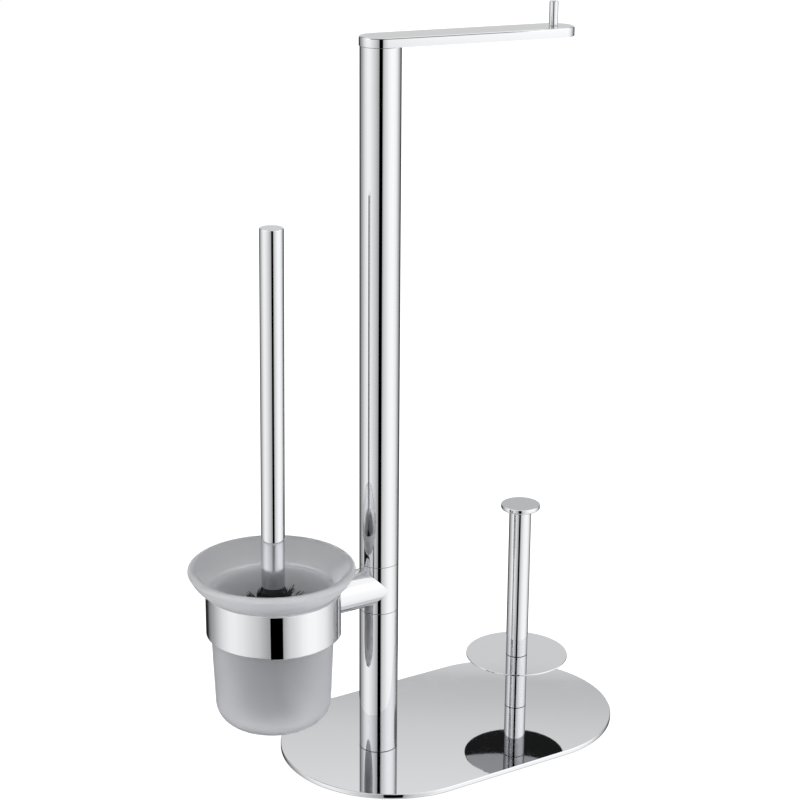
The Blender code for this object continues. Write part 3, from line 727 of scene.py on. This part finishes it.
def makeCup():
    low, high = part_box("glass_cup")
    seat = cup["seatRise"]
    body = cup["bodyRadius"]
    lip = (cup["lipReach"] - cup["lipRadius"], seat + cup["flareHeight"] - cup["lipRadius"])
    outside = arcPoints(lip, cup["lipRadius"], *cup["lipOutside"])
    shoulder = (body + cup["shoulder"][0], seat + cup["shoulder"][1])
    upper = outside[-1]
    pull = ((upper[0] + shoulder[0]) / 2 + cup["bulge"],
            (upper[1] + shoulder[1]) / 2 - cup["bulge"])
    outside += blendPoints(upper, pull, shoulder, cup["shoulderSteps"])
    neck = (body, seat - cup["neck"])
    outside += blendPoints(shoulder, (body, seat - cup["neckTop"]), neck, cup["neckSteps"])
    outside.append(neck)
    foot = arcPoints((cup["footRadius"] - cup["corner"], cup["corner"]), cup["corner"],
                     *cup["footOutside"])
    outside += straightPoints(neck, foot[0], cup["taperSteps"])
    outside += foot + [(cup["floorRing"], 0.0), (0.0, 0.0)]
    inner = body - cup["wall"]
    corner = cup["corner"] - cup["wall"]
    inside = [(0.0, cup["floor"]), (cup["floorRing"], cup["floor"])]
    inside += arcPoints((cup["footRadius"] - cup["wall"] - corner, cup["floor"] + corner),
                        corner, *cup["footInside"])
    throat = (inner + cup["throatRun"], seat + cup["throatRise"])
    straightTop = (inner, throat[1] - cup["throatDepth"])
    inside += straightPoints(inside[-2], straightTop, cup["taperSteps"]) + [straightTop]
    pull = (inner + cup["throatPull"][0], throat[1] - cup["throatPull"][1])
    inside += blendPoints(straightTop, pull, throat, cup["throatSteps"]) + [throat]
    lipIn = arcPoints(lip, cup["lipRadius"], *cup["lipInside"])
    pull = (lipIn[0][0] - cup["flarePull"][0], lipIn[0][1] - cup["flarePull"][1])
    inside += blendPoints(throat, pull, lipIn[0], cup["flareSteps"]) + lipIn
    shell = turnPiece("frostedCup", outside + inside, middleOf(low, high, low.z),
                      steps=cup["sides"])
    finishPiece(shell, "cup", frostedGlass, "glass_cup",
                angle=cup["smoothAngle"])


makeCup()
print("stand: glass cup made")


# brush: handle tube and bristle head, both leaning by the same half degree

brush = {"lean": math.radians(0.5), "heading": math.radians(-32.0), "foot": 58.9 * mm,
         "handleFoot": 102.6 * mm, "handleLength": 271.9 * mm, "handleRadius": 8.75 * mm,
         "handleWall": 1.0 * mm, "handleEdge": 0.8 * mm, "footEdge": 0.2 * mm, "sides": 160}
bristles = {"backingRadius": 9.1 * mm, "backingTop": 97.0 * mm, "backingFloor": 21.0 * mm,
            "domeHeight": 6.0 * mm, "domeStep": math.radians(10.0), "domeRings": 9,
            "bore": 6.8 * mm, "backingSides": 48, "smoothAngle": 50.0,
            "headRadius": 36.6 * mm, "headHeight": 102.5 * mm, "strandRadius": 0.24 * mm,
            "taper": 0.35, "rings": (0.0, 0.35, 0.7, 1.0), "rootDepth": 0.3 * mm,
            "tipRoom": 0.4 * mm, "tufts": 236, "perTuft": 13, "seed": 37,
            "spread": 1.5 * mm, "rootSpread": 0.3, "tipSpread": (2.0, 1.2),  # across and up
            "stray": 0.3, "droop": 6.0 * mm, "trim": 0.85, "curl": 1.6 * mm, "upCurl": 0.75,
            # shares of the tufts and of the two rows below that belong to the straight sleeve
            "onSleeve": 0.86, "sleeveRow": 0.8,
            # where the tips end, from the head's top to its foot
            "radiusShares": (0.27, 0.36, 0.84, 0.94, 0.98, 1.0, 1.0, 0.98, 0.88, 0.60, 0.0),
            "heightShares": (0.985, 0.93, 0.89, 0.83, 0.75, 0.62, 0.46, 0.30, 0.14, 0.0, 0.0)}


def brushMatrix():
    ringCentre, _ = ringAxis()
    sideways = Vector((-math.sin(brush["heading"]), math.cos(brush["heading"]), 0.0))
    return (Matrix.Translation((ringCentre.x, ringCentre.y, brush["foot"]))
            @ Matrix.Rotation(brush["lean"], 4, sideways))


def makeHandle():
    radius = brush["handleRadius"]
    bore = radius - brush["handleWall"]
    top = brush["handleLength"]
    inTop = top - brush["handleWall"] - brush["handleEdge"]
    outline = roundCorners([
        (0.0, top, 0.0), (radius, top, brush["handleEdge"]), (radius, 0.0, brush["footEdge"]),
        (bore, 0.0, 0.0), (bore, inTop, 0.0), (0.0, inTop, 0.0)], closed=False)
    handle = turnPiece("brushHandleTube", outline, (0.0, 0.0, 0.0), steps=brush["sides"],
                       closed=False)
    handle.matrix_world = brushMatrix() @ Matrix.Translation((0.0, 0.0, brush["handleFoot"]))
    finishPiece(handle, "brush", chrome, "brush_handle")


def shareAt(shares, along):
    place = min(max(along, 0.0), 1.0) * (len(shares) - 1)
    step = min(int(place), len(shares) - 2)
    return shares[step] + (shares[step + 1] - shares[step]) * (place - step)


def makeBacking():  # turned sleeve with a domed foot
    b = bristles
    turns = [b["domeStep"] * i for i in range(b["domeRings"])]
    dome = [(b["backingRadius"] * math.cos(turn),
             b["backingFloor"] - b["domeHeight"] * math.sin(turn)) for turn in turns]
    outline = ([(b["bore"], b["backingTop"]), (b["backingRadius"], b["backingTop"])] + dome
               + [(0.0, b["backingFloor"] - b["domeHeight"]), (0.0, b["backingFloor"]),
                  (b["bore"], b["backingFloor"])])
    return turnPiece("bristleHeadTufts", outline, (0.0, 0.0, 0.0), steps=b["backingSides"])


def tuftPlace(along):  # radius and height of a tuft's root and of its tip, by its share
    b = bristles
    drop = b["backingFloor"] - b["backingTop"]
    if along < b["onSleeve"]:
        row = b["sleeveRow"] * along / b["onSleeve"]
        root = (b["backingRadius"], b["backingTop"] + drop * along / b["onSleeve"])
    else:
        share = (along - b["onSleeve"]) / (1.0 - b["onSleeve"])
        row = b["sleeveRow"] + (1.0 - b["sleeveRow"]) * share
        root = (b["backingRadius"] * math.cos(math.pi / 2 * share),
                b["backingFloor"] - b["domeHeight"] * math.sin(math.pi / 2 * share))
    return root, (b["headRadius"] * shareAt(b["radiusShares"], row),
                  b["headHeight"] * shareAt(b["heightShares"], row))


def addFilament(shape, root, tip, bend):
    # a slim four sided cone through a few rings of points, bent most halfway
    line = (tip - root).normalized()
    across = line.orthogonal().normalized()
    other = line.cross(across)
    last = None
    for share in bristles["rings"]:
        middle = root + (tip - root) * share + bend * 4.0 * share * (1.0 - share)
        radius = bristles["strandRadius"] * (1.0 - bristles["taper"] * share)
        loop = []
        for turn in (0.0, math.pi / 2, math.pi, 3 * math.pi / 2):
            spoke = across * math.cos(turn) + other * math.sin(turn)
            loop.append(shape.verts.new(middle + spoke * radius))
        if last:
            for i in range(4):
                shape.faces.new((last[i], last[(i + 1) % 4], loop[(i + 1) % 4], loop[i]))
        else:
            shape.faces.new(loop[::-1])
        last = loop
    shape.faces.new(last)


def makeBristles():
    b = bristles
    head = makeBacking()
    dice = random.Random(b["seed"])
    shape = bmesh.new()
    shape.from_mesh(head.data)
    golden = math.pi * (3.0 - math.sqrt(5.0))
    for tuft in range(b["tufts"]):
        (rootR, rootZ), (tipR, tipZ) = tuftPlace((tuft + 0.5) / b["tufts"])
        # a used brush: tufts stray sideways and the long ones droop
        turn = tuft * golden + dice.uniform(-b["stray"], b["stray"])
        tipZ -= b["droop"] * dice.random() * tipR / b["headRadius"]
        around = Vector((math.cos(turn), math.sin(turn), 0.0))
        side = Vector((-around.y, around.x, 0.0))
        for _ in range(b["perTuft"]):
            # strands fan out of the tuft's hole, each trimmed a little differently
            fan = b["spread"] * math.sqrt(dice.random())
            way = dice.uniform(0.0, 2 * math.pi)
            trim = dice.uniform(b["trim"], 1.0)
            fanSide, fanUp = fan * math.cos(way), fan * math.sin(way)
            root = around * (rootR - b["rootDepth"]) + Vector((0.0, 0.0, rootZ))
            root += (side * fanSide + Vector((0.0, 0.0, fanUp))) * b["rootSpread"]
            tip = root + (around * tipR + Vector((0.0, 0.0, tipZ)) - root) * trim
            tip += side * fanSide * b["tipSpread"][0]
            tip.z += fanUp * b["tipSpread"][1]
            reach = math.hypot(tip.x, tip.y)
            if reach > b["headRadius"]:
                tip.x *= b["headRadius"] / reach
                tip.y *= b["headRadius"] / reach
            tip.z = min(max(tip.z, b["tipRoom"]), b["headHeight"] - b["tipRoom"])
            bend = side * dice.uniform(-b["curl"], b["curl"])
            bend.z += dice.uniform(-b["upCurl"], b["upCurl"]) * b["curl"]
            addFilament(shape, root, tip, bend)
    shape.to_mesh(head.data)
    shape.free()
    head.matrix_world = brushMatrix()
    finishPiece(head, "brush", bristleNylon, "bristle_head",
                angle=b["smoothAngle"])
    print("stand: bristle filaments", b["tufts"] * b["perTuft"])


makeHandle()
makeBristles()
print("stand: brush made")


# the frame's own nodes that stay: plugs, studs and screws inside, the pad under the plate

nodeFinishes = {
    "base_pad": padRubber, "column_screw": zinc, "post_screw": zinc, "column_foot_insert": zinc,
    "lower_joiner": zinc, "joiner_stud": zinc, "upper_joiner": zinc, "column_top_insert": zinc,
    "arm_stud": zinc, "side_arm_insert": zinc, "ring_screw": zinc, "post_foot_insert": zinc,
    "lower_post_insert": zinc, "upper_post_insert": zinc, "post_rod": zinc,
    "handle_insert": blackNylon, "brush_core": blackNylon,
}

for nodeName, nodeMaterial in nodeFinishes.items():
    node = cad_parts[nodeName]
    node.data.materials.clear()
    node.data.materials.append(nodeMaterial)
print("stand: hidden nodes dressed")


# camera at the photograph's place and angle, 800 x 800

camera = {"place": (-0.80699, -1.20746, 0.75952), "lens": 90.11, "sensor": 36.0, "near": 0.05,
          "right": (0.847735, -0.530381, 0.006478), "up": (0.161418, 0.269598, 0.949348)}


def makeCamera():
    data = bpy.data.cameras.new("photoCamera")
    data.sensor_width = camera["sensor"]
    data.lens = camera["lens"]
    data.clip_start = camera["near"]
    thing = bpy.data.objects.new("photoCamera", data)
    bpy.context.scene.collection.objects.link(thing)
    right = Vector(camera["right"]).normalized()
    up = Vector(camera["up"])
    up = (up - right * up.dot(right)).normalized()
    back = right.cross(up)
    turn = Matrix((right, up, back)).transposed().to_4x4()
    thing.matrix_world = Matrix.Translation(camera["place"]) @ turn
    bpy.context.scene.camera = thing


# studio: soft panels all round, graded by direction, and dark low behind the stand

studio = {
    "cameraTurn": math.radians(32.14),
    "strength": 2.5,
    "backdrop": 1.0,
    # brightness of the panels, from behind over left, front and right to behind
    "panels": ((0.0, 0.006), (0.090, 0.008), (0.108, 0.05), (0.125, 0.12), (0.1417, 0.17),
               (0.1736, 0.235), (0.2011, 0.32), (0.2258, 0.40), (0.25, 0.475), (0.294, 0.552),
               (0.367, 0.556), (0.50, 0.577), (0.633, 0.597), (0.717, 0.612),
               (0.767, 0.552), (0.792, 0.49), (0.819, 0.372), (0.85, 0.26), (0.886, 0.11),
               (0.92, 0.012), (1.0, 0.006)),
    # how the front panels change with height, by the sine of the elevation
    "heights": ((-1.0, 0.50), (-0.9, 0.62), (-0.84, 0.71), (-0.77, 0.83), (-0.64, 0.93),
                (-0.42, 1.0), (-0.25, 1.02), (-0.04, 1.06), (0.10, 1.12), (0.25, 1.30),
                (0.36, 1.38), (0.50, 1.38), (0.62, 1.05), (1.0, 0.9)),
    # behind the stand, by the sine of the elevation, and how far round it reaches
    "behind": ((0.0, 0.01), (0.02, 0.16), (0.05, 0.30), (0.14, 0.31), (0.24, 0.35), (0.30, 0.31),
               (0.345, 0.291), (0.38, 0.291), (0.41, 0.372), (0.437, 0.379), (0.4395, 0.298),
               (0.45, 0.322), (0.462, 0.375), (0.4725, 0.40), (0.489, 0.44), (0.53, 0.42),
               (0.6, 0.44), (0.75, 0.54)),
    "behindShare": ((0.05, 1.0), (0.11, 0.0), (0.89, 0.0), (0.95, 1.0)),
    "throughGlass": 0.10,  # the least that the glass lets through from the backdrop
    # overhead, in the same order as the panels, and the sines between which it takes over
    "overhead": ((0.0, 0.55), (0.15, 0.50), (0.35, 0.45), (0.50, 0.42), (0.68, 0.60),
                 (0.85, 0.62), (0.95, 0.58), (1.0, 0.55)),
    "overheadFrom": 0.58,
    "overheadTo": 0.76,
}


def makeStudio():
    world = bpy.data.worlds.new("softStudio")
    bpy.context.scene.world = world
    world.use_nodes = True
    tree = world.node_tree
    tree.nodes.clear()
    place = addNode(tree, "ShaderNodeTexCoord")
    turned = addNode(tree, "ShaderNodeMapping",
                     inputs={"Rotation": (0.0, 0.0, studio["cameraTurn"])},
                     links={"Vector": place.outputs["Generated"]})
    parts = addNode(tree, "ShaderNodeSeparateXYZ", links={"Vector": turned.outputs["Vector"]})
    rise = parts.outputs["Z"]
    back = addNode(tree, "ShaderNodeMath", settings={"operation": "MULTIPLY"},
                   inputs={1: -1.0}, links={0: parts.outputs["Y"]})
    angle = addNode(tree, "ShaderNodeMath", settings={"operation": "ARCTAN2"},
                    links={0: parts.outputs["X"], 1: back.outputs["Value"]})
    share = addNode(tree, "ShaderNodeMapRange",
                    inputs={"From Min": -math.pi, "From Max": math.pi},
                    links={"Value": angle.outputs["Value"]})
    panels = addRamp(tree, share.outputs["Result"], studio["panels"])
    riseShare = addNode(tree, "ShaderNodeMapRange", inputs={"From Min": -1.0, "From Max": 1.0},
                        links={"Value": rise})
    # a ramp runs from 0 to 1, so its places and values are halved and the values doubled after
    lift = addRamp(tree, riseShare.outputs["Result"],
                   [((sine + 1.0) / 2, value / 2) for sine, value in studio["heights"]])
    lifted = addNode(tree, "ShaderNodeMath", settings={"operation": "MULTIPLY"},
                     links={0: panels.outputs["Color"], 1: lift.outputs["Color"]})
    front = addNode(tree, "ShaderNodeMath", settings={"operation": "MULTIPLY"},
                    inputs={1: 2.0}, links={0: lifted.outputs["Value"]})
    behind = addRamp(tree, rise, studio["behind"])
    behindShare = addRamp(tree, share.outputs["Result"], studio["behindShare"])
    around = addNode(tree, "ShaderNodeMix",
                     links={0: behindShare.outputs["Color"], 2: front.outputs["Value"],
                            3: behind.outputs["Color"]})
    over = addNode(tree, "ShaderNodeMapRange",
                   inputs={"From Min": studio["overheadFrom"], "From Max": studio["overheadTo"]},
                   links={"Value": rise})
    overhead = addRamp(tree, share.outputs["Result"], studio["overhead"])
    everywhere = addNode(tree, "ShaderNodeMix",
                         links={0: over.outputs["Result"], 2: around.outputs[0],
                                3: overhead.outputs["Color"]})
    path = addNode(tree, "ShaderNodeLightPath")
    glow = addNode(tree, "ShaderNodeMath", settings={"operation": "MULTIPLY"},
                   inputs={1: studio["throughGlass"]},
                   links={0: path.outputs["Is Transmission Ray"]})
    filled = addNode(tree, "ShaderNodeMath", settings={"operation": "MAXIMUM"},
                     links={0: everywhere.outputs[0], 1: glow.outputs["Value"]})
    soft = addNode(tree, "ShaderNodeBackground", inputs={"Strength": studio["strength"]},
                   links={"Color": filled.outputs["Value"]})
    white = addNode(tree, "ShaderNodeBackground",
                    inputs={"Color": grey(1.0), "Strength": studio["backdrop"]})
    choose = addNode(tree, "ShaderNodeMixShader",
                     links={0: path.outputs["Is Camera Ray"], 1: soft.outputs["Background"],
                            2: white.outputs["Background"]})
    addNode(tree, "ShaderNodeOutputWorld", links={"Surface": choose.outputs["Shader"]})
    bpy.context.scene.view_settings.view_transform = "Standard"


# a gauze round the lens that thins out to its sides, and a thin grey hood over the roll arm;
# only mirror-bright surfaces show them, and the gauze also shows through the glass
lensGauze = {
    "reach": 0.70, "width": 2.5, "bottom": -0.6, "top": 1.1,
    # how much passes, by metres to the right of the column
    "clear": ((-1.217, 0.99), (-0.775, 0.91), (-0.509, 0.775), (-0.323, 0.655), (-0.242, 0.565),
              (-0.1745, 0.485), (-0.125, 0.42), (-0.078, 0.38), (-0.077, 0.0), (0.1635, 0.0),
              (0.1645, 0.39), (0.1745, 0.42), (0.242, 0.57), (0.323, 0.69), (0.509, 0.80),
              (0.775, 0.938), (1.217, 1.0)),
}
armHood = {"reach": 0.120, "left": -0.173, "right": 0.327, "bottom": 0.5919, "top": 0.7439,
           "clear": 0.28}


def sheerCloth(name):  # only dims the light that passes, by the colour of the returned socket
    material, tree, shader = newMaterial(name)
    tree.nodes.remove(shader)
    sheer = addNode(tree, "ShaderNodeBsdfTransparent")
    tree.links.new(sheer.outputs["BSDF"], tree.nodes["Material Output"].inputs["Surface"])
    return material, tree, sheer.inputs["Color"]


def stageSheet(name, material, spot, size, rotation):
    deselectAll()
    bpy.ops.mesh.primitive_plane_add(size=1.0, location=spot, rotation=rotation)
    cloth = bpy.context.object
    cloth.name = name
    cloth.scale = (size[0], size[1], 1.0)
    cloth.data.materials.append(material)
    cloth.visible_camera = False
    cloth.visible_diffuse = False
    cloth.visible_transmission = False
    cloth.visible_shadow = False
    return cloth


def makeCloths():
    turn = studio["cameraTurn"]
    toward = Vector((-math.sin(turn), -math.cos(turn), 0.0))
    right = Vector((math.cos(turn), -math.sin(turn), 0.0))
    low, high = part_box("upper_column")
    column = Vector(((low.x + high.x) / 2, 0.0, 0.0))
    upright = (math.radians(90.0), 0.0, -turn)
    material, tree, colour = sheerCloth("studioGauze")
    place = addNode(tree, "ShaderNodeTexCoord")
    parts = addNode(tree, "ShaderNodeSeparateXYZ", links={"Vector": place.outputs["Object"]})
    along = addNode(tree, "ShaderNodeMath", settings={"operation": "ADD"}, inputs={1: 0.5},
                    links={0: parts.outputs["X"]})
    clear = addRamp(tree, along.outputs["Value"],
                    [(x / lensGauze["width"] + 0.5, share) for x, share in lensGauze["clear"]])
    tree.links.new(clear.outputs["Color"], colour)
    height = lensGauze["top"] - lensGauze["bottom"]
    spot = column + toward * lensGauze["reach"]
    spot.z = lensGauze["bottom"] + height / 2
    sheet = stageSheet("lensGauze", material, spot, (lensGauze["width"], height), upright)
    sheet.visible_transmission = True
    material, _, colour = sheerCloth("thinStudioHood")
    colour.default_value = grey(armHood["clear"])
    height = armHood["top"] - armHood["bottom"]
    width = armHood["right"] - armHood["left"]
    middle = column + right * (armHood["left"] + armHood["right"]) / 2
    spot = middle + toward * armHood["reach"]
    spot.z = armHood["bottom"] + height / 2
    stageSheet("armHoodFront", material, spot, (width, height), upright)
    spot = middle + toward * armHood["reach"] / 2
    spot.z = armHood["top"]
    stageSheet("armHoodTop", material, spot, (width, armHood["reach"]), (0.0, 0.0, -turn))


floor = {"size": 8.0, "paint": 0.28, "glow": 0.86}


def makeFloor():
    deselectAll()
    bpy.ops.mesh.primitive_plane_add(size=floor["size"], location=(0.0, 0.0, 0.0))
    sheet = bpy.context.object
    sheet.name = "studioFloor"
    material, _, shader = newMaterial("whitePaintedFloor")
    shader.inputs["Base Color"].default_value = grey(floor["paint"])
    shader.inputs["Roughness"].default_value = 1.0
    shader.inputs["Specular IOR Level"].default_value = 0.0
    shader.inputs["Emission Color"].default_value = grey(1.0)
    shader.inputs["Emission Strength"].default_value = floor["glow"]
    sheet.data.materials.append(material)
    sheet.visible_glossy = False
    sheet.visible_transmission = False


makeCamera()
makeStudio()
makeCloths()
makeFloor()
print("stand: camera and studio made")
